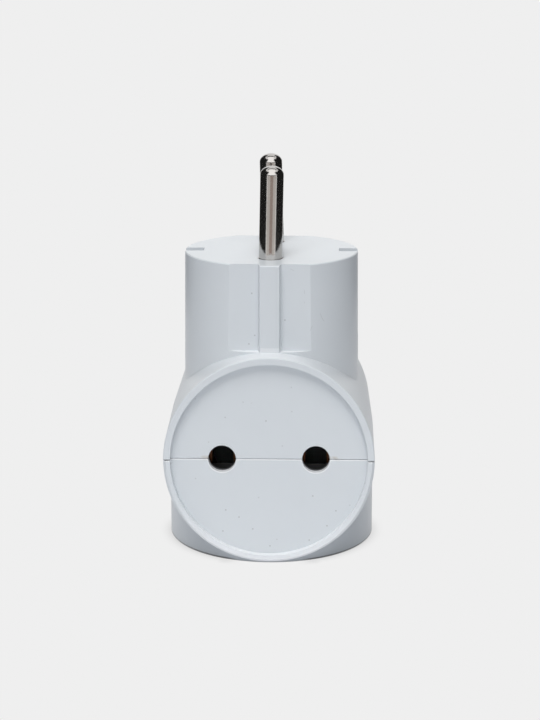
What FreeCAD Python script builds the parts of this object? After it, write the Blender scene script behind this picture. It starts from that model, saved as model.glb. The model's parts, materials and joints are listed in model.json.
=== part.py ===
import FreeCAD, Part
import math
import os

# Triple socket adapter without earth: a round two-pin plug on top of a round drum.
# The drum carries a two-hole socket at the front and one at the rear, and the round
# base under it carries the third, which faces down.
# Millimetres, +Z up, origin on the standing plane at the centre of the base, the
# front socket faces -Y. The two shells part on the level plane through the front
# and rear socket holes.

# Pins and sockets, the standard pattern
PIN_PITCH = 19.0
PIN_DIA = 4.8
PIN_REACH = 19.0
PIN_TIP_HEIGHT = 1.8
PIN_TIP_SIDES = 2
HOLE_CLEARANCE = 0.4

# Drum with the front and rear sockets
DRUM_DIA = 42.7
DRUM_CROWN = 0.25
DRUM_LENGTH = 45.4
DRUM_LIFT = 0.55
UPPER_RIM_BREAK = 0.15
LOWER_RIM_BREAK = 0.5
RIM_WIDTH = 1.4
RECESS_DEPTH = 1.5
FACE_WALL = 2.4
SIDE_WALL = 2.0

# Round base with the bottom socket
BASE_STAND = 0.2
BASE_EDGE_BREAK = 0.3

# Plug body
PLUG_DIA = 36.2
PLUG_DRAFT = 0.3
PLUG_LENGTH = 17.85
PLUG_WALL = 2.2
PLUG_FACE_WALL = 2.6
PLUG_EDGE_BREAK = 0.2
FLAT_DEPTH = 1.95
KEY_WIDTH = 3.8
KEY_ROOT_WIDTH = 4.7
GROOVE_DEPTH = 4.0
GROOVE_WIDTH = 3.3

# Parting line between the shells
SEAM_GAP = 0.1
SEAM_CHAMFER = 0.12

# Turned plug pins
PIN_SEAT_DIA = 5.2
PIN_SEAT_CLEARANCE = 0.05
PIN_BOSS_WALL = 1.8
PIN_BOSS_LENGTH = 5.0
PIN_COLLAR_DIA = 7.2
PIN_COLLAR_THICKNESS = 1.2
PIN_TAIL_DIA = 3.0
STAKE_DIA = 4.0
STAKE_HEIGHT = 0.8

# Brass busbars
BUSBAR_THICKNESS = 1.0
BUSBAR_WIDTH = 11.2
BUSBAR_END_MARGIN = 4.0
BUSBAR_RISE = 4.0
BUSBAR_BEND = 0.4
RISER_WIDTH = 5.0
TAB_END_MARGIN = 1.4
HOLE_PLAY = 0.05

# Contact clips
CLIP_THICKNESS = 0.8
CLIP_GAP = 4.4
CLIP_GRIP_HEIGHT = 3.2
CLIP_BOW = 0.7
CLIP_SKIRT = 1.8
SIDE_CLIP_LENGTH = 10.0
SIDE_CLIP_SETBACK = 0.8
BASE_CLIP_WIDTH = 6.0
BASE_CLIP_GAP_ABOVE = 6.0
BASE_CLIP_CLEAR = 1.6
BASE_CLIP_GRIP = 6.0

# Steel springs around the clips
SPRING_THICKNESS = 0.5
SPRING_WIDTH = 5.0
SPRING_CLEARANCE = 0.02

# Flush rivets that join the clips to the busbars
RIVET_DIA = 2.0

# Rivets and the pins' staked tails are small and unseen, so they are drawn with flats
HIDDEN_ROUND_SIDES = 8

# Ribs, locating tongues and the assembly screw
CHANNEL_CLEARANCE = 0.2
RIB_THICKNESS = 1.2
WEB_THICKNESS = 1.6
SEAT_CLEARANCE = 0.05
RIB_END_CLEARANCE = 0.3
CROSS_RIB_PLACE = 5.0
CROSS_RIB_HEIGHT = 7.0
TONGUE_THICKNESS = 1.2
TONGUE_LENGTH = 8.0
TONGUE_HEIGHT = 2.5
TONGUE_ROOT = 5.0
TONGUE_CLEARANCE = 0.1
STOP_LENGTH = 9.2
SCREW_HEAD_DIA = 6.4
SCREW_HEAD_HEIGHT = 2.0
SCREW_HEAD_BREAK = 0.5
SCREW_SHANK_DIA = 3.0
SCREW_LENGTH = 30.0
SCREW_CLEARANCE = 0.2
SCREW_PILOT_CLEARANCE = 0.05
SCREW_BOSS_WALL = 1.2
SCREW_SLOT_WIDTH = 1.0
SCREW_SLOT_DEPTH = 1.1

# Levels and radii that follow from the sizes above
drum_r = DRUM_DIA / 2
drum_half = DRUM_LENGTH / 2
base_r = drum_r + BASE_STAND
plug_r = PLUG_DIA / 2
pin_r = PIN_DIA / 2
hole_r = pin_r + HOLE_CLEARANCE
pitch_half = PIN_PITCH / 2
recess_r = drum_r - RIM_WIDTH
base_recess_r = base_r - RIM_WIDTH
seam_z = drum_r + DRUM_LIFT
ledge_z = seam_z + drum_r
face_z = ledge_z + PLUG_LENGTH
floor_z = RECESS_DEPTH + FACE_WALL
recess_y = drum_half - RECESS_DEPTH
inner_y = recess_y - FACE_WALL
drum_cavity_r = drum_r - SIDE_WALL
base_cavity_r = base_r - SIDE_WALL
plug_cavity_r = plug_r - PLUG_WALL
flat_y = plug_r - FLAT_DEPTH
top_z = face_z + PIN_REACH
shell_low = seam_z - SEAM_GAP / 2
shell_high = seam_z + SEAM_GAP / 2
strip_z = seam_z + BUSBAR_RISE
strip_top = strip_z + BUSBAR_THICKNESS
strip_half = BUSBAR_WIDTH / 2
collar_top = face_z - PLUG_FACE_WALL - PIN_BOSS_LENGTH
tab_top = collar_top - PIN_COLLAR_THICKNESS
tab_z = tab_top - BUSBAR_THICKNESS
clip_r = CLIP_GAP / 2
rivet_y = inner_y - SIDE_CLIP_SETBACK - SIDE_CLIP_LENGTH / 2
busbar_half = rivet_y + BUSBAR_END_MARGIN
channel_half = clip_r + CLIP_BOW + CLIP_THICKNESS + SPRING_THICKNESS + 2 * CHANNEL_CLEARANCE
tongue_top = shell_high + TONGUE_HEIGHT
tongue_x = math.sqrt(drum_cavity_r**2 - (tongue_top - seam_z) ** 2) - TONGUE_CLEARANCE
BIG = 200.0
SAME = 1e-4


def box(x, y, z):
    """A block from its spans along X, Y and Z."""
    return Part.makeBox(x[1] - x[0], y[1] - y[0], z[1] - z[0], FreeCAD.Vector(x[0], y[0], z[0]))


def upright(radius, low, high, x=0.0, y=0.0):
    """A cylinder along Z."""
    return Part.makeCylinder(radius, high - low, FreeCAD.Vector(x, y, low))


def level(radius, near, far, x=0.0, z=0.0):
    """A cylinder along Y."""
    return Part.makeCylinder(radius, far - near, FreeCAD.Vector(x, near, z), FreeCAD.Vector(0, 1, 0))


def flatted(radius, low, high, x=0.0, y=0.0):
    """A small unseen round drawn with flats, along Z."""
    turns = [2 * math.pi * i / HIDDEN_ROUND_SIDES for i in range(HIDDEN_ROUND_SIDES + 1)]
    ring = [FreeCAD.Vector(x + radius * math.cos(t), y + radius * math.sin(t), low) for t in turns]
    return Part.Face(Part.makePolygon(ring)).extrude(FreeCAD.Vector(0, 0, high - low))


def turned(outline, axis):
    """A solid turned about an axis through the origin from its half outline, as pairs of radius and height."""
    points = [FreeCAD.Vector(radius, 0, 0) + axis * height for radius, height in outline]
    face = Part.Face(Part.makePolygon(points + points[:1]))
    return face.revolve(FreeCAD.Vector(0, 0, 0), axis, 360)


def broken_edge(radius, height, size, side=1):
    """The half outline of a broken edge, from the wall to the end face at this height.

    side is 1 at an upper end face and -1 at a lower one.
    """
    return [(radius, height - side * size), (radius - size, height)]


def round_tip(radius, height, rise, sides):
    """The half outline of a round tip, from the wall to the axis at this height."""
    turns = [math.pi / 2 * i / sides for i in range(sides)]
    return [(radius * math.cos(t), height - rise * (1 - math.sin(t))) for t in turns] + [(0, height)]


def folded(points, thickness, start, width):
    """A strip of sheet metal: a path in a plane, thickened on its outer side and drawn out to its width.

    points are vectors, start is added to them, and width is the vector that draws it out.
    """
    path = Part.makePolygon([p + start for p in points])
    return path.makeOffset2D(-thickness, 0, True, True).extrude(width)


def both_poles(piece):
    """A piece and its copy for the other pole, half a turn round."""
    other = piece.copy()
    other.rotate(FreeCAD.Vector(0, 0, 0), FreeCAD.Vector(0, 0, 1), 180)
    return [piece, other]


def both_ends(piece):
    """A piece and its mirror image at the other end of the drum."""
    return [piece, piece.mirror(FreeCAD.Vector(0, 0, 0), FreeCAD.Vector(0, 1, 0))]


def drum_outside(rim_break):
    """The drum along Y, a little fuller in the middle than at its faces, with broken rim edges."""
    near = broken_edge(drum_r, -drum_half, rim_break, -1)
    far = broken_edge(drum_r, drum_half, rim_break)
    outline = [(0, -drum_half)] + near[::-1] + [(drum_r + DRUM_CROWN, 0)] + far + [(0, drum_half)]
    drum = turned(outline, FreeCAD.Vector(0, 1, 0))
    drum.translate(FreeCAD.Vector(0, 0, seam_z))
    return drum


def plug_outside():
    """The round plug body with its two flats, the key ribs left standing on them and the earth clip grooves."""
    edge = broken_edge(plug_r, face_z, PLUG_EDGE_BREAK)
    outline = [(0, seam_z), (plug_r + PLUG_DRAFT, seam_z)] + edge + [(0, face_z)]
    body = turned(outline, FreeCAD.Vector(0, 0, 1))
    key_y = plug_r + PLUG_DRAFT
    key = Part.makePolygon(
        [
            FreeCAD.Vector(-KEY_ROOT_WIDTH / 2, -flat_y, ledge_z),
            FreeCAD.Vector(-KEY_WIDTH / 2, -key_y, ledge_z),
            FreeCAD.Vector(KEY_WIDTH / 2, -key_y, ledge_z),
            FreeCAD.Vector(KEY_ROOT_WIDTH / 2, -flat_y, ledge_z),
            FreeCAD.Vector(-KEY_ROOT_WIDTH / 2, -flat_y, ledge_z),
        ]
    )
    key = Part.Face(key).extrude(FreeCAD.Vector(0, 0, BIG))
    flat = box((-BIG, BIG), (-BIG, -flat_y), (ledge_z, BIG)).cut(key)
    groove = box((plug_r - GROOVE_DEPTH, BIG), (-GROOVE_WIDTH / 2, GROOVE_WIDTH / 2), (ledge_z, BIG))
    return body.cut(Part.makeCompound(both_ends(flat) + both_poles(groove)))


def side_sockets():
    """What the front and rear sockets take away: the recess and the two pin holes of each."""
    tools = []
    for x in (-pitch_half, pitch_half):
        tools.append(level(hole_r, -BIG, BIG, x, seam_z))
    tools += both_ends(level(recess_r, recess_y, BIG, 0, seam_z))
    return Part.makeCompound(tools)


def chamfer_seam(shell, z):
    """Break the outer edges of a shell's parting face."""
    edges = []
    for edge in shell.Edges:
        span = edge.BoundBox
        middle = edge.CenterOfMass
        in_plane = abs(span.ZMin - z) < SAME and abs(span.ZMax - z) < SAME
        outside = abs(middle.y) > inner_y + SEAM_GAP or abs(middle.x) > drum_cavity_r + SEAM_GAP
        if in_plane and outside:
            edges.append(edge)
    return shell.makeChamfer(SEAM_CHAMFER, edges)


def upper_housing():
    """Upper shell: the top half of the drum and the plug body, with webs that hold the metal parts down."""
    outside = drum_outside(UPPER_RIM_BREAK).fuse(plug_outside())
    outside = outside.common(box((-BIG, BIG), (-BIG, BIG), (shell_high, BIG)))
    inside_flat = flat_y - PLUG_WALL
    hollow = upright(plug_cavity_r, 0, face_z - PLUG_FACE_WALL)
    hollow = hollow.common(box((-BIG, BIG), (-inside_flat, inside_flat), (0, BIG)))
    groove_x = plug_r - GROOVE_DEPTH - PLUG_WALL
    groove_y = GROOVE_WIDTH / 2 + PLUG_WALL
    hollow = hollow.cut(
        Part.makeCompound(both_poles(box((groove_x, BIG), (-groove_y, groove_y), (ledge_z - PLUG_WALL, BIG))))
    )
    hollow = hollow.fuse(level(drum_cavity_r, -inner_y, inner_y, 0, seam_z))

    screw_boss_r = SCREW_SHANK_DIA / 2 + SCREW_PILOT_CLEARANCE + SCREW_BOSS_WALL + SCREW_CLEARANCE
    boss_top = floor_z + SCREW_LENGTH + 2 * SCREW_BOSS_WALL
    web_half = WEB_THICKNESS / 2
    inside = [
        box((-web_half, web_half), (-BIG, BIG), (shell_high, ledge_z)),
        box((-BIG, BIG), (-web_half, web_half), (boss_top - SCREW_BOSS_WALL, face_z)),
        upright(screw_boss_r, shell_high, boss_top),
    ]
    for y in (-CROSS_RIB_PLACE, CROSS_RIB_PLACE):
        low = strip_top + SEAT_CLEARANCE
        inside.append(box((-BIG, BIG), (y - web_half, y + web_half), (low, low + CROSS_RIB_HEIGHT)))
    boss_half = PIN_SEAT_DIA / 2 + PIN_BOSS_WALL
    inside += both_ends(box((-boss_half, boss_half), (pitch_half - boss_half, BIG), (collar_top, face_z)))
    stop_half = STOP_LENGTH / 2
    stop = box((tongue_x - TONGUE_THICKNESS, BIG), (-stop_half, stop_half), (shell_high, tongue_top))
    inside += both_poles(stop)
    for x in (-pitch_half, pitch_half):
        rib = box(
            (x - web_half, x + web_half),
            (busbar_half - RIB_THICKNESS, BIG),
            (strip_top + SEAT_CLEARANCE, ledge_z),
        )
        inside += both_ends(rib)
    ribs = inside[0].multiFuse(inside[1:]).common(outside)
    shell = outside.cut(hollow).fuse(ribs)

    holes = [upright(SCREW_SHANK_DIA / 2 + SCREW_PILOT_CLEARANCE, 0, boss_top - SCREW_BOSS_WALL)]
    for y in (-pitch_half, pitch_half):
        holes.append(upright(PIN_SEAT_DIA / 2 + PIN_SEAT_CLEARANCE, collar_top, BIG, 0, y))
    shell = shell.cut(Part.makeCompound([side_sockets()] + holes)).removeSplitter()
    return chamfer_seam(shell, shell_high)


def lower_housing():
    """Lower shell: the bottom half of the drum on the round base, with the channels for the contacts."""
    edge = broken_edge(base_r, 0, BASE_EDGE_BREAK, -1)
    base = turned([(0, 0)] + edge[::-1] + [(base_r, seam_z), (0, seam_z)], FreeCAD.Vector(0, 0, 1))
    outside = drum_outside(LOWER_RIM_BREAK).fuse(base)
    outside = outside.common(box((-BIG, BIG), (-drum_half, drum_half), (0, shell_low)))
    hollow = level(drum_cavity_r, -inner_y, inner_y, 0, seam_z).fuse(upright(base_cavity_r, 0, seam_z))
    hollow = hollow.common(box((-BIG, BIG), (-inner_y, inner_y), (floor_z, BIG)))

    head_r = SCREW_HEAD_DIA / 2 + SCREW_CLEARANCE
    ribs = [upright(head_r + SCREW_BOSS_WALL, RECESS_DEPTH, shell_low)]
    rib_y = inner_y - RIB_END_CLEARANCE
    for x in (-pitch_half, pitch_half):
        for side in (-1, 1):
            near = x + side * channel_half
            far = near + side * RIB_THICKNESS
            ribs.append(box((min(near, far), max(near, far)), (-rib_y, rib_y), (RECESS_DEPTH, strip_z)))
    near = STOP_LENGTH / 2 + TONGUE_CLEARANCE
    tongue = box(
        (tongue_x - TONGUE_THICKNESS, tongue_x),
        (near, near + TONGUE_LENGTH),
        (shell_low - TONGUE_ROOT, tongue_top),
    )
    for end in both_ends(tongue):
        ribs += both_poles(end)
    around = hollow.fuse(outside)
    shell = outside.cut(hollow).fuse([rib.common(around) for rib in ribs])

    tools = [side_sockets(), upright(base_recess_r, -BIG, RECESS_DEPTH)]
    for x in (-pitch_half, pitch_half):
        tools.append(upright(hole_r, -BIG, floor_z, x, 0))
    tools.append(upright(head_r, 0, floor_z))
    tools.append(upright(SCREW_SHANK_DIA / 2 + SCREW_CLEARANCE, 0, BIG))
    shell = shell.cut(Part.makeCompound(tools)).removeSplitter()
    return chamfer_seam(shell, shell_low)


def plug_pin():
    """A turned pin with its round tip, seat, collar and staked tail, standing on the Z axis."""
    seat_r = PIN_SEAT_DIA / 2
    collar_r = PIN_COLLAR_DIA / 2
    outline = [
        (0, tab_top),
        (collar_r, tab_top),
        (collar_r, collar_top),
        (seat_r, collar_top),
        (seat_r, face_z),
        (pin_r, face_z),
    ]
    outline += round_tip(pin_r, top_z, PIN_TIP_HEIGHT, PIN_TIP_SIDES)
    shaft = turned(outline, FreeCAD.Vector(0, 0, 1))
    tail = flatted(PIN_TAIL_DIA / 2, tab_z, tab_top)
    stake = flatted(STAKE_DIA / 2, tab_z - STAKE_HEIGHT, tab_z)
    return shaft.fuse([tail, stake])


def busbar():
    """The left pole's busbar: a flat strip over its three contacts, a riser, and a tab to the front pin."""
    inner_x = -pitch_half + strip_half
    strip = box((inner_x - BUSBAR_WIDTH, inner_x), (-busbar_half, busbar_half), (strip_z, strip_top))
    tab_end = PIN_TAIL_DIA / 2 + TAB_END_MARGIN
    riser_y = (-pitch_half - RISER_WIDTH / 2, -pitch_half + RISER_WIDTH / 2)
    riser = box((inner_x - BUSBAR_THICKNESS, inner_x), riser_y, (strip_z, tab_top))
    tab = box((inner_x - BUSBAR_THICKNESS, tab_end), riser_y, (tab_z, tab_top))
    bar = strip.fuse([riser, tab]).removeSplitter()
    outer, inner = [], []
    for edge in bar.Edges:
        across = edge.BoundBox.XLength < SAME and edge.BoundBox.ZLength < SAME
        middle = edge.CenterOfMass
        if not across or abs(middle.y + pitch_half) > RISER_WIDTH / 2:
            continue
        on_inside = abs(middle.x - inner_x) < SAME
        on_outside = abs(middle.x - inner_x + BUSBAR_THICKNESS) < SAME
        if on_outside and abs(middle.z - tab_top) < SAME:
            outer.append(edge)
        elif on_inside and abs(middle.z - tab_z) < SAME:
            inner.append(edge)
        elif on_outside and abs(middle.z - strip_top) < SAME:
            inner.append(edge)
    bar = bar.makeFillet(BUSBAR_BEND, inner + outer)
    holes = [flatted(PIN_TAIL_DIA / 2 + HOLE_PLAY, 0, BIG, 0, -pitch_half)]
    for y in (-rivet_y, 0, rivet_y):
        holes.append(flatted(RIVET_DIA / 2 + HOLE_PLAY, 0, BIG, -pitch_half, y))
    return bar.cut(Part.makeCompound(holes))


def side_clip():
    """A left front contact clip: a strip folded over the pin way, its leaves bowed in to grip the pin."""
    web = clip_r + CLIP_BOW
    grip = CLIP_GRIP_HEIGHT / 2
    top = strip_z - CLIP_THICKNESS
    half = [
        (web, seam_z - grip - CLIP_SKIRT),
        (clip_r, seam_z - grip),
        (clip_r, seam_z + grip),
        (web, top),
    ]
    path = [FreeCAD.Vector(x, 0, z) for x, z in half] + [FreeCAD.Vector(-x, 0, z) for x, z in reversed(half)]
    near = -inner_y + SIDE_CLIP_SETBACK
    place = FreeCAD.Vector(-pitch_half, near, 0)
    clip = folded(path, CLIP_THICKNESS, place, FreeCAD.Vector(0, SIDE_CLIP_LENGTH, 0))
    hole = flatted(RIVET_DIA / 2 + HOLE_PLAY, seam_z, BIG, -pitch_half, -rivet_y)
    return clip.cut(hole)


def base_clip():
    """The left bottom contact clip: long leaves that reach down from the busbar to the bottom socket."""
    low = floor_z + BASE_CLIP_CLEAR
    half = [
        (clip_r + CLIP_BOW, low),
        (clip_r, low + CLIP_SKIRT),
        (clip_r, low + CLIP_SKIRT + BASE_CLIP_GRIP),
        (BASE_CLIP_GAP_ABOVE / 2, low + 2 * CLIP_SKIRT + BASE_CLIP_GRIP),
        (BASE_CLIP_GAP_ABOVE / 2, strip_z - CLIP_THICKNESS),
    ]
    path = [FreeCAD.Vector(x, 0, z) for x, z in half] + [FreeCAD.Vector(-x, 0, z) for x, z in reversed(half)]
    place = FreeCAD.Vector(-pitch_half, -BASE_CLIP_WIDTH / 2, 0)
    clip = folded(path, CLIP_THICKNESS, place, FreeCAD.Vector(0, BASE_CLIP_WIDTH, 0))
    hole = flatted(RIVET_DIA / 2 + HOLE_PLAY, seam_z, BIG, -pitch_half, 0)
    return clip.cut(hole)


def side_spring():
    """The steel spring of a left front clip: it passes under the pin way and presses both leaves in."""
    leaf = clip_r + CLIP_THICKNESS + SPRING_CLEARANCE
    wide = leaf + CLIP_BOW + SPRING_CLEARANCE
    grip = CLIP_GRIP_HEIGHT / 2
    under = seam_z - grip - CLIP_SKIRT - CLIP_THICKNESS
    half = [
        (leaf, seam_z + grip - SPRING_THICKNESS),
        (leaf, seam_z - grip + SPRING_THICKNESS),
        (wide, seam_z - grip - CLIP_SKIRT + SPRING_THICKNESS),
        (wide, under),
    ]
    path = [FreeCAD.Vector(-x, 0, z) for x, z in half] + [FreeCAD.Vector(x, 0, z) for x, z in reversed(half)]
    near = -inner_y + SIDE_CLIP_SETBACK + (SIDE_CLIP_LENGTH - SPRING_WIDTH) / 2
    place = FreeCAD.Vector(-pitch_half, near, 0)
    return folded(path, SPRING_THICKNESS, place, FreeCAD.Vector(0, SPRING_WIDTH, 0))


def base_spring():
    """The steel spring of a left bottom clip: it passes beside the pin way and presses both leaves in."""
    leaf = clip_r + CLIP_THICKNESS + SPRING_CLEARANCE
    side = BASE_CLIP_WIDTH / 2 + SPRING_CLEARANCE
    path = [
        FreeCAD.Vector(-leaf, -side + SPRING_THICKNESS, 0),
        FreeCAD.Vector(-leaf, side, 0),
        FreeCAD.Vector(leaf, side, 0),
        FreeCAD.Vector(leaf, -side + SPRING_THICKNESS, 0),
    ]
    low = floor_z + BASE_CLIP_CLEAR + CLIP_SKIRT + (BASE_CLIP_GRIP - SPRING_WIDTH) / 2
    place = FreeCAD.Vector(-pitch_half, 0, low)
    return folded(path, SPRING_THICKNESS, place, FreeCAD.Vector(0, 0, SPRING_WIDTH))


def rivets():
    """Six flush rivets, one through the busbar and the web of each clip."""
    found = []
    for y in (-rivet_y, 0, rivet_y):
        found += both_poles(flatted(RIVET_DIA / 2, strip_z - CLIP_THICKNESS, strip_top, -pitch_half, y))
    return Part.makeCompound(found)


def assembly_screw():
    """The screw that holds the shells together, driven up from the bottom socket's recess."""
    low = floor_z - SCREW_HEAD_HEIGHT
    head_r = SCREW_HEAD_DIA / 2
    shank_r = SCREW_SHANK_DIA / 2
    tip = floor_z + SCREW_LENGTH
    edge = broken_edge(head_r, low, SCREW_HEAD_BREAK, -1)
    shank = [(head_r, floor_z), (shank_r, floor_z), (shank_r, tip - shank_r / 2), (shank_r / 2, tip), (0, tip)]
    screw = turned([(0, low)] + edge[::-1] + shank, FreeCAD.Vector(0, 0, 1))
    half = SCREW_SLOT_WIDTH / 2
    arm = SCREW_HEAD_DIA / 3
    slots = [
        box((-arm, arm), (-half, half), (low, low + SCREW_SLOT_DEPTH)),
        box((-half, half), (-arm, arm), (low, low + SCREW_SLOT_DEPTH)),
    ]
    return screw.cut(Part.makeCompound(slots))


def moved(piece, x, y):
    copy = piece.copy()
    copy.translate(FreeCAD.Vector(x, y, 0))
    return copy


def subparts():
    """Every sub-part by name."""
    found = {
        "upper_housing": upper_housing(),
        "lower_housing": lower_housing(),
        "plug_pin_front": moved(plug_pin(), 0, -pitch_half),
        "plug_pin_rear": moved(plug_pin(), 0, pitch_half),
        "contact_rivets": rivets(),
        "assembly_screw": assembly_screw(),
    }
    found["busbar_left"], found["busbar_right"] = both_poles(busbar())
    for name, piece in (("contact", side_clip()), ("contact_spring", side_spring())):
        front, rear = both_ends(piece)
        found[name + "_front_left"], found[name + "_rear_right"] = both_poles(front)
        found[name + "_rear_left"], found[name + "_front_right"] = both_poles(rear)
    for name, piece in (("contact", base_clip()), ("contact_spring", base_spring())):
        found[name + "_bottom_left"], found[name + "_bottom_right"] = both_poles(piece)
    return found


os.makedirs("parts", exist_ok=True)
for name, piece in subparts().items():
    piece.exportStep(os.path.join("parts", name + ".step"))
    print(name, len(piece.Solids), "solids", round(piece.Volume, 1), "mm3", "valid" if piece.isValid() else "NOT VALID")
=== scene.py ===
# %% [markdown]
# # A white triple socket adapter
#
# The object is a round drum with a two-hole socket at each end, a round base with a third
# socket under it, and a round plug body with two metal pins on top. The CAD model gives every
# piece at its real size. This lesson dresses it: moulded plastic, plated pins, brass and steel
# inside, a pale floor, soft studio light and the camera.

# %% Load the frame
import math
import json
import bpy
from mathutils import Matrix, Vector


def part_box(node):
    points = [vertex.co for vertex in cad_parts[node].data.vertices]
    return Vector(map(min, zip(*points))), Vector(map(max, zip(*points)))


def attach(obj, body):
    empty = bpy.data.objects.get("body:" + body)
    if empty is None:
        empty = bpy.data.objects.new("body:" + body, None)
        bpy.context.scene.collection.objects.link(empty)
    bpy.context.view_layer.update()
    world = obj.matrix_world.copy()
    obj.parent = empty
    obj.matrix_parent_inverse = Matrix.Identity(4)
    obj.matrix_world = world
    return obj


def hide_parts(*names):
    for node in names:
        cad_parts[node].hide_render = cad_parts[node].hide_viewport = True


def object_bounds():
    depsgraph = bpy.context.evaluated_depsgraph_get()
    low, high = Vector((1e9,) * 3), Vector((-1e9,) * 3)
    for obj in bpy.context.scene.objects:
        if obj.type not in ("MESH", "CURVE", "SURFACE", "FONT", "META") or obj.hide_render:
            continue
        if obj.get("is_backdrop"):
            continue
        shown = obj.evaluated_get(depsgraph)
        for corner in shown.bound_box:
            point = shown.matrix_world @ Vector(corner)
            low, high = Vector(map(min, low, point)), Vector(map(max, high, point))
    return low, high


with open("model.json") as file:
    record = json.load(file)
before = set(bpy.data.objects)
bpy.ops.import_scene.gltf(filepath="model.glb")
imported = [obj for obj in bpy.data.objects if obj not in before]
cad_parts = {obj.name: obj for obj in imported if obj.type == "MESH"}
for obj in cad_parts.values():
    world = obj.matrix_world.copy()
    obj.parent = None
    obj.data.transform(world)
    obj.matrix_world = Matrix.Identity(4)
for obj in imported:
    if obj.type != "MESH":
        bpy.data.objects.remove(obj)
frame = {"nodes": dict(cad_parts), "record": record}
cad_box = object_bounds()
print("CAD nodes:", len(frame["nodes"]))

# %% [markdown]
# ## Sizes that the looks need
#
# What the frame knows is read from it. Marks on the plastic follow edges that no mount names, so
# the radii and heights of those edges stand here in millimetres, as in the CAD model. The object
# is the same at the front and the back, so most of them are distances from the middle.

# %% Read the sizes of the shells, in millimetres
MM = 0.001
mounts = {mount["name"]: mount for mount in frame["record"]["mounts"]}
hole = mounts["socket_front_right"]
HOLE_X = hole["pos_m"][0] / MM
SOCKET_FACE = -hole["pos_m"][1] / MM
SEAM_Z = hole["pos_m"][2] / MM
HOLE_RADIUS = hole["dims"]["r_mm"]
SOCKET_FRONT = -cad_box[0].y / MM
RECESS_RADIUS = 19.95
RIM_EDGE = 20.4
BASE_RADIUS = 21.55
PLUG_RADIUS = 18.05
PLUG_FLAT = 16.15
RIB_HALF = 2.2
LEDGE_LOW = 41.0
LEDGE_HIGH = 44.2
print("hole at", HOLE_X, -SOCKET_FACE, SEAM_Z, "radius", HOLE_RADIUS, "mm")

# %% Read the place and size of the pins, in metres
pin_mount = mounts["plug_pin_front"]
PIN_Y = pin_mount["pos_m"][1]
FACE_Z = pin_mount["pos_m"][2]
PIN_RADIUS = pin_mount["dims"]["r_mm"] * MM
PIN_WALL = pin_mount["dims"]["length_mm"] * MM
print("pin radius", round(PIN_RADIUS / MM, 2), "mm")

# %% [markdown]
# ## The camera
#
# The photo was taken from the front and a little above with a long lens, and the frame was
# shifted down so that the object stands in its middle. A longer lens from further away would
# show less of the plug's top face, so the distance matters as much as the angle.

# %% Set up the camera
CAMERA_DISTANCE = 383.04 * MM
CAMERA_HEIGHT = 133.08 * MM
CAMERA_PITCH = math.radians(10.945)
CAMERA_YAW = math.radians(1.453)
CAMERA_LENS = 93.06
CAMERA_SENSOR = 36.0
CAMERA_SHIFT = (-0.00225, -0.1401)
CAMERA_CLIP = (0.01, 20.0)

camera_data = bpy.data.cameras.new("camera")
camera_data.lens = CAMERA_LENS
camera_data.sensor_width = CAMERA_SENSOR
camera_data.shift_x, camera_data.shift_y = CAMERA_SHIFT
camera_data.clip_start, camera_data.clip_end = CAMERA_CLIP
camera = bpy.data.objects.new("camera", camera_data)
bpy.context.scene.collection.objects.link(camera)
camera.location = (
    CAMERA_DISTANCE * math.sin(CAMERA_YAW),
    -CAMERA_DISTANCE * math.cos(CAMERA_YAW),
    CAMERA_HEIGHT,
)
camera.rotation_euler = (math.pi / 2 - CAMERA_PITCH, 0, CAMERA_YAW)
bpy.context.scene.camera = camera
bpy.context.scene.view_settings.view_transform = "Standard"
print("camera at", [round(v, 4) for v in camera.location])

# %% [markdown]
# ## Shader maths written as Python
#
# A procedural finish is arithmetic on the place of a point. Adding Math nodes one by one hides
# that arithmetic, so a small class wraps an output socket and turns `+ - * < >` into Math nodes.
# Every other node comes from one method, `Finish.add`.
#
# A mask is a wire that is 1 where something is and 0 where it isn't. Masks are multiplied where
# both must hold, and the larger of two is taken where either may.

# %% Wrap sockets so that they can be used in expressions
class Wire:
    """An output socket of a finish. Arithmetic on it adds Math nodes."""

    def __init__(self, finish, socket):
        self.finish = finish
        self.socket = socket

    def math(self, operation, *inputs):
        return self.finish.add("ShaderNodeMath", {"operation": operation}, inputs)

    def __add__(self, other):
        return self.math("ADD", self, other)

    def __radd__(self, other):
        return self.math("ADD", other, self)

    def __sub__(self, other):
        return self.math("SUBTRACT", self, other)

    def __rsub__(self, other):
        return self.math("SUBTRACT", other, self)

    def __mul__(self, other):
        return self.math("MULTIPLY", self, other)

    def __rmul__(self, other):
        return self.math("MULTIPLY", other, self)

    def __lt__(self, other):
        return self.math("LESS_THAN", self, other)

    def __gt__(self, other):
        return self.math("GREATER_THAN", self, other)

    def __abs__(self):
        return self.math("ABSOLUTE", self)


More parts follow.
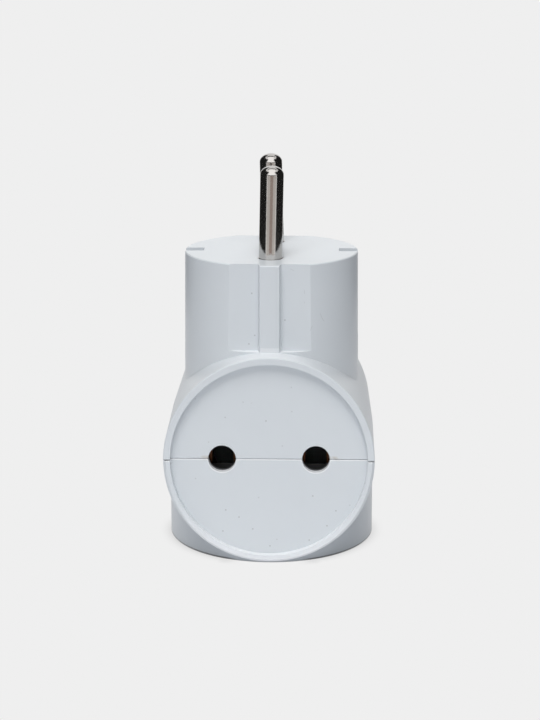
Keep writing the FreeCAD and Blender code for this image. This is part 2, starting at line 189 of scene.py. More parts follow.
class Finish:
    """A material, with the place of a point in millimetres ready as x, y and z."""

    def __init__(self, name):
        self.material = bpy.data.materials.new(name)
        self.material.use_nodes = True
        self.tree = self.material.node_tree
        self.shader = self.tree.nodes["Principled BSDF"]
        metres = self.add("ShaderNodeTexCoord", output="Object")
        scaled = {0: metres, "Scale": 1 / MM}
        self.place = self.add("ShaderNodeVectorMath", {"operation": "SCALE"}, scaled)
        self.x, self.y, self.z = (
            self.add("ShaderNodeSeparateXYZ", {}, [self.place], axis) for axis in "XYZ"
        )

    @property
    def side(self):
        """How far to the left or right of the middle."""
        return abs(self.x)

    @property
    def out(self):
        """How far to the front or back of the middle."""
        return abs(self.y)

    @property
    def turn(self):
        """The distance from the upright line through the base and the plug."""
        return self.radius(self.x, self.y)

    @property
    def drum(self):
        """The distance from the drum's axis."""
        return self.radius(self.x, self.z - SEAM_Z)

    def add(self, kind, settings=None, inputs=(), output=0):
        """Add a node: its settings, then a value or a wire for each named or numbered socket."""
        node = self.tree.nodes.new(kind)
        for name, value in (settings or {}).items():
            setattr(node, name, value)
        pairs = inputs.items() if isinstance(inputs, dict) else enumerate(inputs)
        for name, value in pairs:
            self.plug(node.inputs[name], value)
        return Wire(self, node.outputs[output])

    def plug(self, socket, value):
        """Join a wire to a socket, or write a plain value there."""
        if isinstance(value, Wire):
            self.tree.links.new(value.socket, socket)
        elif socket.type == "RGBA":
            socket.default_value = (*value[:3], 1.0)
        else:
            socket.default_value = value

    def set(self, **values):
        """Write the shader's own sockets, named in lower case with underscores."""
        for name, value in values.items():
            label = name.replace("_", " ").title().replace("Ior", "IOR")
            self.plug(self.shader.inputs[label], value)

    def surface(self, result):
        """Join a wire to the material's output."""
        self.plug(self.tree.nodes["Material Output"].inputs["Surface"], result)

    def noise(self, size, detail=2.0, stretch=(1, 1, 1)):
        """Cloudy noise from 0 to 1, its features about this many millimetres across."""
        settings = {"operation": "MULTIPLY"}
        squeezed = self.add("ShaderNodeVectorMath", settings, [self.place, stretch])
        sockets = {"Vector": squeezed, "Scale": 1 / size, "Detail": detail}
        return self.add("ShaderNodeTexNoise", {}, sockets)

    def step(self, value, start, end):
        """Rise smoothly from 0 where value is start to 1 where it is end."""
        settings = {"interpolation_type": "SMOOTHSTEP"}
        sockets = {"Value": value, "From Min": start, "From Max": end}
        return self.add("ShaderNodeMapRange", settings, sockets)

    def between(self, value, low, high, blur):
        """1 where value lies from low to high, and 0 outside, with soft ends."""
        return self.step(value, low - blur, low) * self.step(value, high + blur, high)

    def near(self, point, reach):
        """1 at a point and 0 from this far away, in millimetres."""
        settings = {"operation": "DISTANCE"}
        away = self.add("ShaderNodeVectorMath", settings, [self.place, point], "Value")
        return self.step(away, reach, 0.4 * reach)

    def radius(self, across, up):
        """The distance from an axis, from the two measures across it."""
        return self.add("ShaderNodeMath", {"operation": "SQRT"}, [across * across + up * up])

    def tint(self, amount, base, other):
        """Mix two colours."""
        sockets = {"Factor": amount, 6: base, 7: other}
        return self.add("ShaderNodeMix", {"data_type": "RGBA"}, sockets, 2)

    def soft_edges(self, radius):
        """The surface's direction with its sharp edges rounded over, in millimetres."""
        return self.add("ShaderNodeBevel", {"samples": 6}, {"Radius": radius * MM})

    def bump(self, height, depth, normal=None):
        """Feed the shader's normal with a height from 0 to 1 that stands this many millimetres."""
        sockets = {"Height": height, "Distance": depth * MM, "Strength": 1.0}
        if normal:
            sockets["Normal"] = normal
        self.set(normal=self.add("ShaderNodeBump", {}, sockets))


print("finishes are written as expressions")

# %% [markdown]
# ## Dust, specks and scratches
#
# Handling has left small dark specks and short hairline scratches, and a little brown dust sits
# in the joint beside the holes. Each mark has its place on the front, as x and z in millimetres.
# A speck is a small ball round a point, and a scratch is a strip between two points. A pair of
# numbers says where a soft edge starts and where it is full.

# %% Place the marks
SOCKET_SPECKS = (
    (-0.6, 29.9), (8.9, 14.2), (-8.8, 11.1), (-6.1, 9.6), (13.6, 11.1), (-3.3, 7.1),
    (-9.4, 6.6), (11.8, 7.9), (8.2, 4.8), (0.2, 3.5),
)
FAINT_SPECKS = (
    (-14.8, 34.4), (-8.8, 30.6), (4.6, 31.9), (4.5, 36.9), (2.7, 24.7), (-14.9, 17.7), (1.6, 4.9),
    (-5.2, 33.8), (7.9, 20.6), (-12.2, 25.4), (16.4, 12.3), (-2.1, 13.8),
)
PLUG_SPECKS = ((3.1, 49.6), (-4.2, 44.6), (-3.6, 55.1), (-3.0, 46.4))
SCRATCHES = (
    (4.0, 60.2, 5.1, 59.7), (10.1, 50.9, 11.0, 48.8), (8.7, 48.6, 8.1, 47.2),
    (7.0, 56.0, 7.1, 54.8), (7.1, 53.6, 7.0, 52.9), (-19.9, 20.6, -19.4, 21.3),
    (-3.8, 33.4, -3.2, 33.8), (-9.2, 30.8, -8.5, 30.3),
)
SPECK_REACH = 0.22
FAINTNESS = 0.5
SCRATCH_BEND = 0.12
SCRATCH_WIDTH = (0.07, 0.02)
SCRATCH_TAPER = 0.4
SCRATCH_SIDE = -11.3
DUST_HEIGHT = 0.2
DUST_REACH = (0.7, 0.1)
DUST_SPREAD = (3.0, 0.5)
DUST_PATCH = 1.1
DUST_PATCHES = (0.42, 0.62)
FACE_DEPTH = 1.0


def specks(finish):
    """Where the small dark specks are."""
    found = 0.0
    groups = (
        (SOCKET_SPECKS, SOCKET_FACE, 1.0),
        (FAINT_SPECKS, SOCKET_FACE, FAINTNESS),
        (PLUG_SPECKS, PLUG_FLAT, 1.0),
    )
    for places, out, strength in groups:
        for x, z in places:
            found = finish.near((x, -out, z), SPECK_REACH) * strength + found
    return found


def scratches(finish):
    """Where the fine scratches are. Each bends a little and thins out at its ends."""
    found = 0.0
    front = finish.y < SCRATCH_SIDE
    for x, z, end_x, end_z in SCRATCHES:
        half = math.hypot(end_x - x, end_z - z) / 2
        run, rise = (end_x - x) / half / 2, (end_z - z) / half / 2
        right, up = finish.x - (x + end_x) / 2, finish.z - (z + end_z) / 2
        along = right * run + up * rise
        across = right * rise - up * run
        line = finish.step(abs(across + along * along * SCRATCH_BEND), *SCRATCH_WIDTH)
        found = line * finish.step(abs(along), half, half - SCRATCH_TAPER) * front + found
    return found


def seam_dust(finish):
    """Where dust has settled on the front face along the joint, beside the holes."""
    front = finish.y < FACE_DEPTH - SOCKET_FACE
    level = finish.step(abs(finish.z - SEAM_Z - DUST_HEIGHT), *DUST_REACH)
    beside = finish.step(abs(finish.side - HOLE_X - HOLE_RADIUS), *DUST_SPREAD)
    patches = finish.step(finish.noise(DUST_PATCH), *DUST_PATCHES)
    return front * level * beside * patches


print("specks:", len(SOCKET_SPECKS + FAINT_SPECKS + PLUG_SPECKS), "scratches:", len(SCRATCHES))

# %% [markdown]
# ## Painted highlights and painted shade
#
# Some edges are painted paler as painted highlights, where they would catch the light: the joint,
# the mouths of the holes, the rims, the ledges of the plug and the top of the drum. Where no light
# reaches, painted shade makes the plastic darker: deep in the holes, in the open joint across the
# rims, and as a painted contact shadow at the foot of the base. These masks follow the shape by its
# radii.

# %% Find the holes and the rims
BLUR = 0.2
MOUTH_DEPTH = 1.0
MOUTH_WIDTH = (0.55, 0.35)
WALL_WIDTH = (0.3, 0.1)
RIM_DEPTH = (0.9, 0.6)
LOW_START = 0.8 * SEAM_Z


def beyond(finish, value, edge, inside):
    """1 past an edge. The soft start and end are given as distances inside the edge."""
    start, full = inside
    return finish.step(value, edge - start, edge - full)


def close_to(finish, value, edge, outside):
    """1 within an edge. The soft start and end are given as distances outside the edge."""
    start, full = outside
    return finish.step(value, edge + start, edge + full)


def hole_radius(finish):
    """The distance from the axis of the nearer hole."""
    return finish.radius(finish.side - HOLE_X, finish.z - SEAM_Z)


def hole_mouths(finish):
    """Where the front and rear holes meet the socket faces."""
    face = finish.between(finish.out, SOCKET_FACE - MOUTH_DEPTH, SOCKET_FACE + BLUR, BLUR)
    return close_to(finish, hole_radius(finish), HOLE_RADIUS, MOUTH_WIDTH) * face


def hole_walls(finish):
    """The walls of the front and rear holes, all the way in."""
    return close_to(finish, hole_radius(finish), HOLE_RADIUS, WALL_WIDTH)


def low_down(finish):
    """Rises from nothing near the joint to 1 at the floor."""
    return finish.step(finish.z, LOW_START, 0.0)


def rim_foot(finish):
    """The lower half of the front and rear rims."""
    return beyond(finish, finish.out, SOCKET_FRONT, RIM_DEPTH) * low_down(finish)


print("socket faces at", SOCKET_FACE, "and rims at", round(SOCKET_FRONT, 2), "mm from the middle")


# %% Find the edges that get painted highlights
LIP_DEPTH = 1.3
LIP_BELOW = 0.3
JOINT_BAND = (-0.22, 0.04)
JOINT_BLUR = 0.05
JOINT_DEPTH = 1.2
LEDGE_BLUR = 0.10
CROWN_FULL = 0.8
CROWN_END = 0.3
WALL_DEPTH = (0.25, 0.1)
EDGE_BLUR = 0.4


def lower_lips(finish):
    """The lower wall of each hole, close to its mouth."""
    shallow = finish.between(finish.out, SOCKET_FACE - LIP_DEPTH, SOCKET_FACE + BLUR, BLUR)
    return hole_walls(finish) * shallow * finish.step(finish.z, SEAM_Z, SEAM_Z - LIP_BELOW)


def joint(finish):
    """The lower shell's edge along the joint, on the socket faces and the rims."""
    line = finish.between(finish.z - SEAM_Z, *JOINT_BAND, JOINT_BLUR)
    return line * (finish.out > SOCKET_FACE - JOINT_DEPTH)


def ledges(finish):
    """The two ledges below the plug's flats, beside the rib."""
    flat = finish.step(finish.out, PLUG_FLAT, PLUG_FLAT + LEDGE_BLUR) * (finish.turn < PLUG_RADIUS)
    return flat * (finish.z > LEDGE_LOW) * (finish.z < LEDGE_HIGH) * (finish.side > RIB_HALF)


def crown(finish):
    """The top of the drum, between the plug and the rim."""
    top = finish.step(finish.z, LEDGE_LOW, LEDGE_HIGH - CROWN_FULL) * (finish.z < LEDGE_HIGH)
    return top * (finish.out > PLUG_RADIUS) * (finish.out < SOCKET_FRONT - CROWN_END)


def recess_wall(finish):
    """The lower wall of each recess, up to its rim."""
    wall = beyond(finish, finish.drum, RECESS_RADIUS, WALL_DEPTH)
    return wall * low_down(finish) * finish.step(finish.out, SOCKET_FACE, SOCKET_FACE + BLUR)


def foot_edge(finish):
    """The outer edge of the rims, low down."""
    return rim_foot(finish) * finish.step(finish.drum, RIM_EDGE, RIM_EDGE + EDGE_BLUR)


# Each of these pale edges is a painted highlight, where the edge would catch the light.
PAINTED_HIGHLIGHTS = (
    (lower_lips, 0.8),
    (joint, 0.7),
    (ledges, 0.6),
    (crown, 0.35),
    (recess_wall, 0.7),
    (foot_edge, 1.0),
)


def painted_highlights(finish):
    """The strongest of all the painted highlights on edges."""
    found = 0.0
    for place, strength in PAINTED_HIGHLIGHTS:
        mask = place(finish) * strength
        found = mask.math("MAXIMUM", mask, found)
    return found


# These places are painted highlights.
print("rubbed places:", len(PAINTED_HIGHLIGHTS))


# %% Find where painted shade goes
# Strengths of the painted shade deep in the holes and in the open joint, and of the painted contact
# shadow at the base's foot.
DEEP_TINT = 0.9
OPEN_JOINT_TINT = 0.6
CONTACT_TINT = 0.9
DEEP_START = (-1.2, -1.6)
OPEN_JOINT_BAND = (-0.02, 0.24)
OPEN_JOINT_BLUR = 0.04
OPEN_JOINT_DEPTH = (0.5, 0.3)
CONTACT_HEIGHT = (0.60, 0.25)
CONTACT_DEPTH = 0.6
DRUM_FOOT_HALF = (6.0, 9.0)


def painted_shadows(finish):
    """Painted shade deep in the holes and in the rims' open joint, and painted shadow at the base's
    foot.
    """
    deep = hole_walls(finish) * close_to(finish, finish.out, SOCKET_FACE, DEEP_START)
    rim = beyond(finish, finish.out, SOCKET_FRONT, OPEN_JOINT_DEPTH)
    opening = finish.between(finish.z - SEAM_Z, *OPEN_JOINT_BAND, OPEN_JOINT_BLUR)
    opening = opening * rim * (finish.side > RECESS_RADIUS)
    base_skin = finish.turn > BASE_RADIUS - CONTACT_DEPTH
    beside_drum = finish.step(finish.side, *DRUM_FOOT_HALF) * base_skin
    foot = finish.step(finish.z, *CONTACT_HEIGHT) * beside_drum
    return foot * CONTACT_TINT + deep * DEEP_TINT + opening * OPEN_JOINT_TINT


# The painted shade reaches this share of its dark colour.
print("dark gaps reach", DEEP_TINT, "of the grime's colour")

# %% [markdown]
# ## The white plastic
#
# The shells are moulded in a cool white plastic with a soft shine. The mould was polished, so
# the surface waves very slightly, and a fine grain breaks up the shine. The marks above, the painted
# highlights on edges and the painted shade in the gaps are laid over the plain colour one after the
# other. A Bevel node rounds the sharp edges of the CAD mesh: a little more at the holes, and less at
# the foot of the rims, which stay crisp.

# %% Make the plastic
PLASTIC_COLOUR = (0.735, 0.770, 0.800)
SHADE_COLOUR = (0.66, 0.70, 0.745)
# The colour of the painted highlights on edges.
HIGHLIGHT_PAINT_COLOUR = (0.95, 0.96, 0.98)
# The colour of the painted shade in the holes, the open joint and at the base's foot.
PAINTED_SHADE_COLOUR = (0.03, 0.03, 0.035)
DUST_COLOUR = (0.47, 0.39, 0.27)
SPECK_COLOUR = (0.16, 0.15, 0.14)
CLOUD_SIZE = 14.0
CLOUD_RANGE = (0.35, 0.75)
CLOUD_TINT = 0.16
DUST_TINT = 0.45
SPECK_TINT = 0.35
SCRATCH_TINT = 0.22
ROUGHNESS = 0.29
ROUGHNESS_RISE = 0.05
SHEEN_SIZE = 2.4
PLASTIC_IOR = 1.46
GRAIN_SIZE = 0.16
WAVE_SIZE = 5.0
WAVE_SHARE = 0.75
RELIEF = 0.006
EDGE_RADIUS = 0.08
MOUTH_RADIUS = 0.10
FOOT_RADIUS = 0.06


def white_plastic():
    finish = Finish("white_plastic")
    clouds = finish.step(finish.noise(CLOUD_SIZE, 3.0), *CLOUD_RANGE)
    colour = finish.tint(clouds * CLOUD_TINT, PLASTIC_COLOUR, SHADE_COLOUR)
    layers = (
        (seam_dust(finish) * DUST_TINT, DUST_COLOUR),
        # Painted highlights on the edges that catch the light.
        (painted_highlights(finish), HIGHLIGHT_PAINT_COLOUR),
        (specks(finish) * SPECK_TINT, SPECK_COLOUR),
        (scratches(finish) * SCRATCH_TINT, SPECK_COLOUR),
        # Painted shade deep in the holes, in the open joint, and a painted contact shadow at the
        # base's foot.
        (painted_shadows(finish), PAINTED_SHADE_COLOUR),
    )
    for amount, other in layers:
        colour = finish.tint(amount, colour, other)
    roughness = ROUGHNESS + finish.noise(SHEEN_SIZE) * ROUGHNESS_RISE
    finish.set(base_color=colour, roughness=roughness, ior=PLASTIC_IOR)
    rounding = EDGE_RADIUS + hole_mouths(finish) * MOUTH_RADIUS - rim_foot(finish) * FOOT_RADIUS
    grain = finish.noise(GRAIN_SIZE, 3.0) * (1 - WAVE_SHARE)
    relief = grain + finish.noise(WAVE_SIZE, 1.0) * WAVE_SHARE
    finish.bump(relief, RELIEF, finish.soft_edges(rounding))
    return finish.material


plastic = white_plastic()
print("plastic has", len(plastic.node_tree.nodes), "nodes")

# %% [markdown]
# ## The metals
#
# The pins are turned brass with a nickel plating: a lathe leaves fine rings round them. Inside,
# the contacts and busbars are stamped from brass strip, whose rolled surface has streaks along
# the strip, and the springs and the screw are steel. A metal is the same shader with its
# Metallic at 1 and a fine bump; only the size and the direction of the bump differ. The brass
# and the springs are seen only through the holes, and their colours are darkened to nearly black as
# painted shade for the dark inside the holes.

# %% Make the metals
NICKEL_COLOUR = (0.66, 0.64, 0.62)
NICKEL_SMEAR = (0.56, 0.53, 0.505)
NICKEL_ROUGHNESS = 0.08
NICKEL_RELIEF = 0.008
RING_SIZE = 0.12
RING_STRETCH = (0.02, 0.02, 1.0)
SMEAR_SIZE = 3.0
SMEAR_STRETCH = (1.0, 1.0, 0.5)
SMEAR_RANGE = (0.4, 0.7)
SMEAR_TINT = 0.5
DENT_SIZE = 0.45
# The brass and spring colours are darkened to nearly black: painted shade for the dark inside the
# holes.
SHADED_BRASS_COLOUR = (0.08, 0.035, 0.018)
SHADED_BRASS_STAIN = (0.02, 0.01, 0.008)
SHADED_SPRING_COLOUR = (0.010, 0.010, 0.011)
SHADED_SPRING_STAIN = (0.006, 0.006, 0.007)
SCREW_COLOUR = (0.62, 0.63, 0.65)
SCREW_STAIN = (0.50, 0.51, 0.52)
STREAK_SIZE = 0.5
STREAK_STRETCH = (1.0, 0.12, 1.0)
STREAK_ROUGHNESS = 0.12
STAIN_SIZE = 2.5
STAIN_RANGE = (0.45, 0.75)
STAIN_TINT = 0.6
STRIP_RELIEF = 0.006


def turned_nickel():
    finish = Finish("turned_nickel")
    rings = finish.noise(RING_SIZE, 2.0, RING_STRETCH)
    dents = finish.noise(DENT_SIZE, 2.0)
    smears = finish.noise(SMEAR_SIZE, 3.0, SMEAR_STRETCH)
    smeared = finish.step(smears, *SMEAR_RANGE) * SMEAR_TINT
    colour = finish.tint(smeared, NICKEL_COLOUR, NICKEL_SMEAR)
    roughness = NICKEL_ROUGHNESS + smears * NICKEL_ROUGHNESS
    finish.set(base_color=colour, metallic=1.0, roughness=roughness)
    finish.bump(rings * 0.5 + dents * 0.5, NICKEL_RELIEF)
    return finish.material


def rolled_strip(name, colour, stain, roughness):
    finish = Finish(name)
    streaks = finish.noise(STREAK_SIZE, 3.0, STREAK_STRETCH)
    stained = finish.step(finish.noise(STAIN_SIZE, 3.0), *STAIN_RANGE) * STAIN_TINT
    mixed = finish.tint(stained, colour, stain)
    streaked = roughness + streaks * STREAK_ROUGHNESS
    finish.set(base_color=mixed, metallic=1.0, roughness=streaked)
    finish.bump(streaks, STRIP_RELIEF)
    return finish.material


nickel = turned_nickel()
brass = rolled_strip("contact_brass", SHADED_BRASS_COLOUR, SHADED_BRASS_STAIN, roughness=0.30)
spring_steel = rolled_strip("spring_steel", SHADED_SPRING_COLOUR, SHADED_SPRING_STAIN, roughness=0.40)
screw_steel = rolled_strip("screw_steel", SCREW_COLOUR, SCREW_STAIN, roughness=0.28)
print("metals:", nickel.name, brass.name, spring_steel.name, screw_steel.name)

# %% [markdown]
# ## Dress the CAD pieces
#
# The shells, contacts, busbars, springs, rivets and the screw keep their CAD meshes. Each gets
# its finish in its material slots. The name of a piece says what it is made of.

# %% Give each CAD piece its finish
FINISHES = {"housing": plastic, "spring": spring_steel, "screw": screw_steel, "pin": nickel}


def dress(piece, material):
    piece.data.materials.clear()
    piece.data.materials.append(material)


for name, piece in frame["nodes"].items():
    found = [material for word, material in FINISHES.items() if word in name]
    dress(piece, (found + [brass])[0])
print("dressed", len(frame["nodes"]), "pieces")

# %% [markdown]
# ## The plug pins
#
# Each pin is turned in one piece: a rivet end, a tail, a collar that sits behind the moulding, a
# seat, and the shaft with its round tip. The CAD pin's tip is two bevels, and the shine on the
# tip needs a true curve. A lathe part is drawn the way it is turned: a disc is extruded
# along the axis and resized at each change of diameter. The second pin is a copy of the first.
# Both sit a little loose in their seats, and lean by a degree or so, as in the photo.

# %% Measure the pin, in metres
low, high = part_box("plug_pin_front")
TIP_ROUND = high.z - FACE_Z - PIN_WALL
TIP_STEPS = 12
TIP_FLAT = 0.01 * MM
PIN_SIDES = 96
SEAT_RADIUS = 2.6 * MM
COLLAR_RADIUS = (high.x - low.x) / 2
COLLAR_Z = (FACE_Z - 8.8 * MM, FACE_Z - 7.6 * MM)
TAIL_RADIUS = 1.5 * MM
STAKE_RADIUS = 2.0 * MM
STAKE_TOP = low.z + 0.8 * MM
EDGE = 0.12 * MM
SMOOTH_BELOW = math.radians(25)
FRONT_LEAN = math.radians(1.1)
REAR_LEAN = math.radians(-1.3)
print("pin from", round(low.z / MM, 2), "to", round(high.z / MM, 2), "mm")


# %% Draw the pin's outline
def pin_outline():
    """Pairs of radius and height, from the rivet end up."""
    outline = [
        (STAKE_RADIUS - EDGE, low.z),
        (STAKE_RADIUS, low.z + EDGE),
        (STAKE_RADIUS, STAKE_TOP),
        (TAIL_RADIUS, STAKE_TOP),
        (TAIL_RADIUS, COLLAR_Z[0]),
        (COLLAR_RADIUS, COLLAR_Z[0]),
        (COLLAR_RADIUS, COLLAR_Z[1]),
        (SEAT_RADIUS, COLLAR_Z[1]),
        (SEAT_RADIUS, FACE_Z),
        (PIN_RADIUS, FACE_Z),
    ]
    for i in range(TIP_STEPS + 1):
        angle = math.pi / 2 * i / TIP_STEPS
        height = high.z - TIP_ROUND * (1 - math.sin(angle))
        outline.append((PIN_RADIUS * math.cos(angle) + TIP_FLAT, height))
    return outline


print("outline points:", len(pin_outline()))


# %% Turn one pin
def start_disc(name, sides, radius, place):
    """A filled disc, which is then the selected object."""
    bpy.ops.object.select_all(action="DESELECT")
    bpy.ops.mesh.primitive_circle_add(vertices=sides, radius=radius, fill_type="NGON", location=place)
    disc = bpy.context.object
    disc.name = name
    return disc


def turn_pin(name):
    """Extrude a disc along the outline and smooth it. The pin stands on the middle line."""
    outline = pin_outline()
    radius, height = outline[0]
    pin = start_disc(name, PIN_SIDES, radius, (0, 0, height))
    bpy.ops.object.transform_apply(location=True, rotation=True, scale=True)
    bpy.ops.object.mode_set(mode="EDIT")
    bpy.ops.mesh.select_all(action="SELECT")
    for next_radius, next_height in outline[1:]:
        rise = {"value": (0, 0, next_height - height)}
        bpy.ops.mesh.extrude_region_move(TRANSFORM_OT_translate=rise)
        ratio = next_radius / radius
        bpy.ops.transform.resize(value=(ratio, ratio, 1))
        radius, height = next_radius, next_height
    bpy.ops.mesh.select_all(action="SELECT")
    bpy.ops.mesh.normals_make_consistent(inside=False)
    bpy.ops.object.mode_set(mode="OBJECT")
    bpy.ops.object.shade_smooth_by_angle(angle=SMOOTH_BELOW)
    return pin


front_pin = turn_pin("turned_pin_front")
print(front_pin.name, len(front_pin.data.polygons), "faces")


# %% Copy the pin and seat both
def copy_piece(piece, name):
    """A copy with its own mesh."""
    twin = piece.copy()
    twin.data = piece.data.copy()
    twin.name = name
    bpy.context.scene.collection.objects.link(twin)
    return twin


def seat_pin(pin, y, lean):
    """Move a pin's mesh to its place and lean it in its seat."""
    bpy.ops.object.select_all(action="DESELECT")
    pin.select_set(True)
    bpy.context.view_layer.objects.active = pin
    bpy.ops.object.mode_set(mode="EDIT")
    bpy.ops.mesh.select_all(action="SELECT")
    bpy.ops.transform.translate(value=(0, y, 0))
    seat = (0, y, FACE_Z)
    bpy.ops.transform.rotate(value=-lean, orient_axis="Y", center_override=seat)
    bpy.ops.object.mode_set(mode="OBJECT")


rear_pin = copy_piece(front_pin, "turned_pin_rear")
pins = (("front", front_pin, PIN_Y, FRONT_LEAN), ("rear", rear_pin, -PIN_Y, REAR_LEAN))
for end, pin, y, lean in pins:
    seat_pin(pin, y, lean)
    dress(pin, nickel)
    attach(pin, "root")
    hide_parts("plug_pin_" + end)
print("pins lean", [round(math.degrees(lean), 1) for end, pin, y, lean in pins], "degrees")

# %% [markdown]
# ## The floor
#
# The photo's ground is one even pale grey with no horizon. A lit floor would darken with
# distance, so what the camera and the shiny parts see is a constant colour, and only an
# ambient occlusion term darkens it where the base stands close. For all other light it is a
# plain surface that throws light back up: brightest just in front of the object, where the
# rim's lower edge shines, less so round the base, and least further out, where the plug looks.

# %% Make the floor
GROUND_COLOUR = (0.863, 0.863, 0.863)
FAR_BOUNCE = (0.37, 0.39, 0.43)
NEAR_BOUNCE = (0.54, 0.565, 0.61)
FRONT_BOUNCE = (0.88, 0.90, 0.93)
FLOOR_ROUGHNESS = 0.9
FLOOR_RADIUS = 3.0
FLOOR_SIDES = 96
NEAR_REACH = (60.0, 35.0)
FRONT_START = (-20.7, -26.5)
FRONT_END = (-170.0, -90.0)
SHADOW_REACH = 0.003
SHADOW_DEPTH = 0.35
SHADOW_FRONT = (-0.5, 2.0)
SHADOW_SIDE = (5.0, 12.0)
SHADOW_SAMPLES = 12


def seen_directly(finish):
    """1 for rays from the camera, from a mirror or through glass, and 0 for the rest."""
    camera_ray, mirror_ray, glass_ray = (
        finish.add("ShaderNodeLightPath", {}, (), name)
        for name in ("Is Camera Ray", "Is Glossy Ray", "Is Transmission Ray")
    )
    total = camera_ray + mirror_ray + glass_ray
    return total.math("MINIMUM", total, 1.0)


def floor_bounce(finish):
    """The colour that throws light back up."""
    around_base = finish.step(finish.turn, *NEAR_REACH)
    in_front = finish.step(finish.y, *FRONT_START) * finish.step(finish.y, *FRONT_END)
    return finish.tint(in_front, finish.tint(around_base, FAR_BOUNCE, NEAR_BOUNCE), FRONT_BOUNCE)


def floor_shadow(finish):
    """How far the soft shadow darkens the ground, beside the base and not before the drum."""
    settings = {"samples": SHADOW_SAMPLES, "only_local": False}
    light = finish.add("ShaderNodeAmbientOcclusion", settings, {"Distance": SHADOW_REACH}, "AO")
    beside_base = close_to(finish, finish.y, -SOCKET_FRONT, SHADOW_FRONT)
    beside_base = beside_base * finish.step(finish.side, *SHADOW_SIDE)
    return (1 - finish.step(light, 0.0, 1.0)) * (beside_base * SHADOW_DEPTH)


def floor_material():
    finish = Finish("pale_floor")
    finish.set(base_color=floor_bounce(finish), roughness=FLOOR_ROUGHNESS)
    sockets = {"Color": GROUND_COLOUR, "Strength": 1 - floor_shadow(finish)}
    even = finish.add("ShaderNodeEmission", {}, sockets)
    lit = Wire(finish, finish.shader.outputs[0])
    sockets = {"Fac": seen_directly(finish), 1: lit, 2: even}
    finish.surface(finish.add("ShaderNodeMixShader", {}, sockets))
    finish.material.cycles.emission_sampling = "NONE"
    return finish.material


floor = start_disc("floor", FLOOR_SIDES, FLOOR_RADIUS, (0, 0, 0))
dress(floor, floor_material())
floor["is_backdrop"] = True
print("floor radius", FLOOR_RADIUS, "m")

# %% [markdown]
# ## Light
#
# The photo has a soft box high in front, a little to the left, with weaker light from straight
# above, from the front and from the left: the top is bright, the front a step darker, the sides
# darker still, and the recess has a soft shadow under its upper edge. A fifth lamp lights only
# the back. The lamps hang far away for their size, so that the plug, which is nearer to them,
# is no brighter than the drum below it. Mirror rays don't see the lamps.

# %% Set the world
WORLD_LEVEL = 0.14
WORLD_COLOUR = (0.97, 0.985, 1.0)


def studio_world():
    """A weak sky, which the camera, mirrors and glass see as the ground's even colour."""
    world = bpy.data.worlds.new("studio")
    world.use_nodes = True
    nodes, links = world.node_tree.nodes, world.node_tree.links
    pale = nodes["Background"]
    pale.inputs["Color"].default_value = (*WORLD_COLOUR, 1)
    pale.inputs["Strength"].default_value = WORLD_LEVEL
    even = nodes.new("ShaderNodeBackground")
    even.inputs["Color"].default_value = (*GROUND_COLOUR, 1)
    rays = nodes.new("ShaderNodeLightPath")
    seen = rays.outputs["Is Camera Ray"]
    for kind in ("Is Glossy Ray", "Is Transmission Ray"):
        either = nodes.new("ShaderNodeMath")
        either.operation = "MAXIMUM"
        links.new(seen, either.inputs[0])
        links.new(rays.outputs[kind], either.inputs[1])
        seen = either.outputs[0]
    mixed = nodes.new("ShaderNodeMixShader")
    links.new(seen, mixed.inputs["Fac"])
    links.new(pale.outputs[0], mixed.inputs[1])
    links.new(even.outputs[0], mixed.inputs[2])
    links.new(mixed.outputs[0], nodes["World Output"].inputs["Surface"])
    bpy.context.scene.world = world


studio_world()
print("world level", WORLD_LEVEL)

# %% Hang the lamps
HEART = Vector((0, 0, 0.04))
LAMP_DISTANCE = 1.6


def around(elevation, azimuth, distance):
    """A place this far from the object's heart, with angles in degrees from the front."""
    up, turn = math.radians(elevation), math.radians(azimuth)
    aim = Vector((math.cos(up) * math.sin(turn), -math.cos(up) * math.cos(turn), math.sin(up)))
    return HEART + distance * aim


def soft_lamp(name, elevation, azimuth, size, watts):
    """A square soft box that faces the object and that mirror rays don't see."""
    data = bpy.data.lights.new(name, "AREA")
    data.shape = "SQUARE"
    data.size = size
    data.energy = watts
    lamp = bpy.data.objects.new(name, data)
    bpy.context.scene.collection.objects.link(lamp)
    lamp.location = around(elevation, azimuth, LAMP_DISTANCE)
    lamp.rotation_euler = (HEART - lamp.location).to_track_quat("-Z", "Y").to_euler()
    lamp.visible_glossy = False


soft_lamp("soft_box", elevation=58, azimuth=-8, size=0.93, watts=15.7)
soft_lamp("overhead", elevation=90, azimuth=0, size=1.2, watts=5.6)
soft_lamp("front_fill", elevation=12, azimuth=0, size=1.2, watts=3.4)
soft_lamp("left_fill", elevation=58, azimuth=-90, size=1.0, watts=1.6)
soft_lamp("back_fill", elevation=12, azimuth=180, size=1.2, watts=10.5)

# %% [markdown]
# ## Cards for the shine
#
# The shiny pins tell what stood round them: a brownish front with a white screen above it, and
# black at both sides. Cards that only mirror rays see give them that, and they take no light from
# the plastic. They hang about a quarter of a metre away, on a ball round the object's heart.

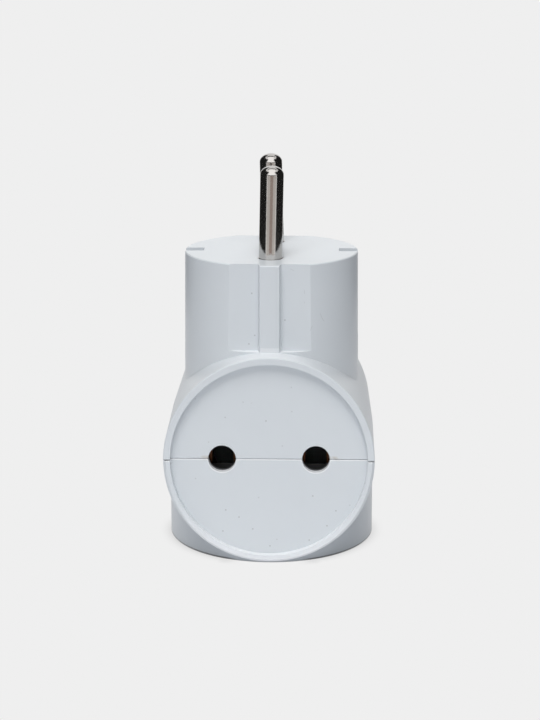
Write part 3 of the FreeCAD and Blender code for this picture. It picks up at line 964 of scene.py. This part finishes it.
# %% Hang the cards
WHITE = (1.3, 1.3, 1.3)
BLACK = (0.016, 0.016, 0.016)
BEIGE = (0.565, 0.535, 0.51)
BROWN = (0.37, 0.30, 0.27)
FRONT_CARDS = (
    ("front_card", 0, 0.26, (0.45, 0.085), BEIGE),
    ("brown_strip", 0, 0.25, (0.12, 0.085), BROWN),
    ("front_gap", 13, 0.268, (0.50, 0.042), BLACK),
    ("white_screen", 28, 0.27, (0.34, 0.10), WHITE),
    ("white_screen", 48, 0.27, (0.28, 0.10), WHITE),
    ("white_screen", 68, 0.27, (0.22, 0.10), WHITE),
    ("white_screen", 88, 0.27, (0.18, 0.10), WHITE),
    ("top_gap", 104, 0.27, (0.20, 0.05), BLACK),
)
DARK_CARD_DISTANCE = 0.24
DARK_CARD_SIZE = (0.17, 0.19)
DARK_CARD_AZIMUTHS = (66, 100, 134)
DARK_CARD_ELEVATIONS = (0, 36)


def card(name, elevation, azimuth, distance, size, colour):
    """A card that faces the object and that only mirror rays see."""
    finish = Finish(name)
    finish.surface(finish.add("ShaderNodeEmission", {}, {"Color": colour, "Strength": 1.0}))
    finish.material.cycles.emission_sampling = "NONE"
    place = around(elevation, azimuth, distance)
    turn = (HEART - place).to_track_quat("Z", "Y").to_euler()
    bpy.ops.object.select_all(action="DESELECT")
    bpy.ops.mesh.primitive_plane_add(size=1.0, location=place, rotation=turn)
    flag = bpy.context.object
    flag.name = name
    flag.scale = (*size, 1)
    dress(flag, finish.material)
    flag.visible_camera = False
    flag.visible_diffuse = False
    flag.visible_shadow = False
    flag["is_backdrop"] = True


for name, elevation, distance, size, colour in FRONT_CARDS:
    card(name, elevation, 0, distance, size, colour)
for side in (-1, 1):
    for azimuth in DARK_CARD_AZIMUTHS:
        for elevation in DARK_CARD_ELEVATIONS:
            card("dark_card", elevation, side * azimuth, DARK_CARD_DISTANCE, DARK_CARD_SIZE, BLACK)
print("front cards:", len(FRONT_CARDS))

# %% [markdown]
# ## Finish
#
# The last cell prints the model's box before and after the dressing.

# %% Print the boxes
boxes = [[list(corner) for corner in box] for box in (cad_box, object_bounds())]
corners = [corner for box in boxes for corner in box]
print("CAD and visual boxes in mm:", [[round(v / MM, 2) for v in corner] for corner in corners])
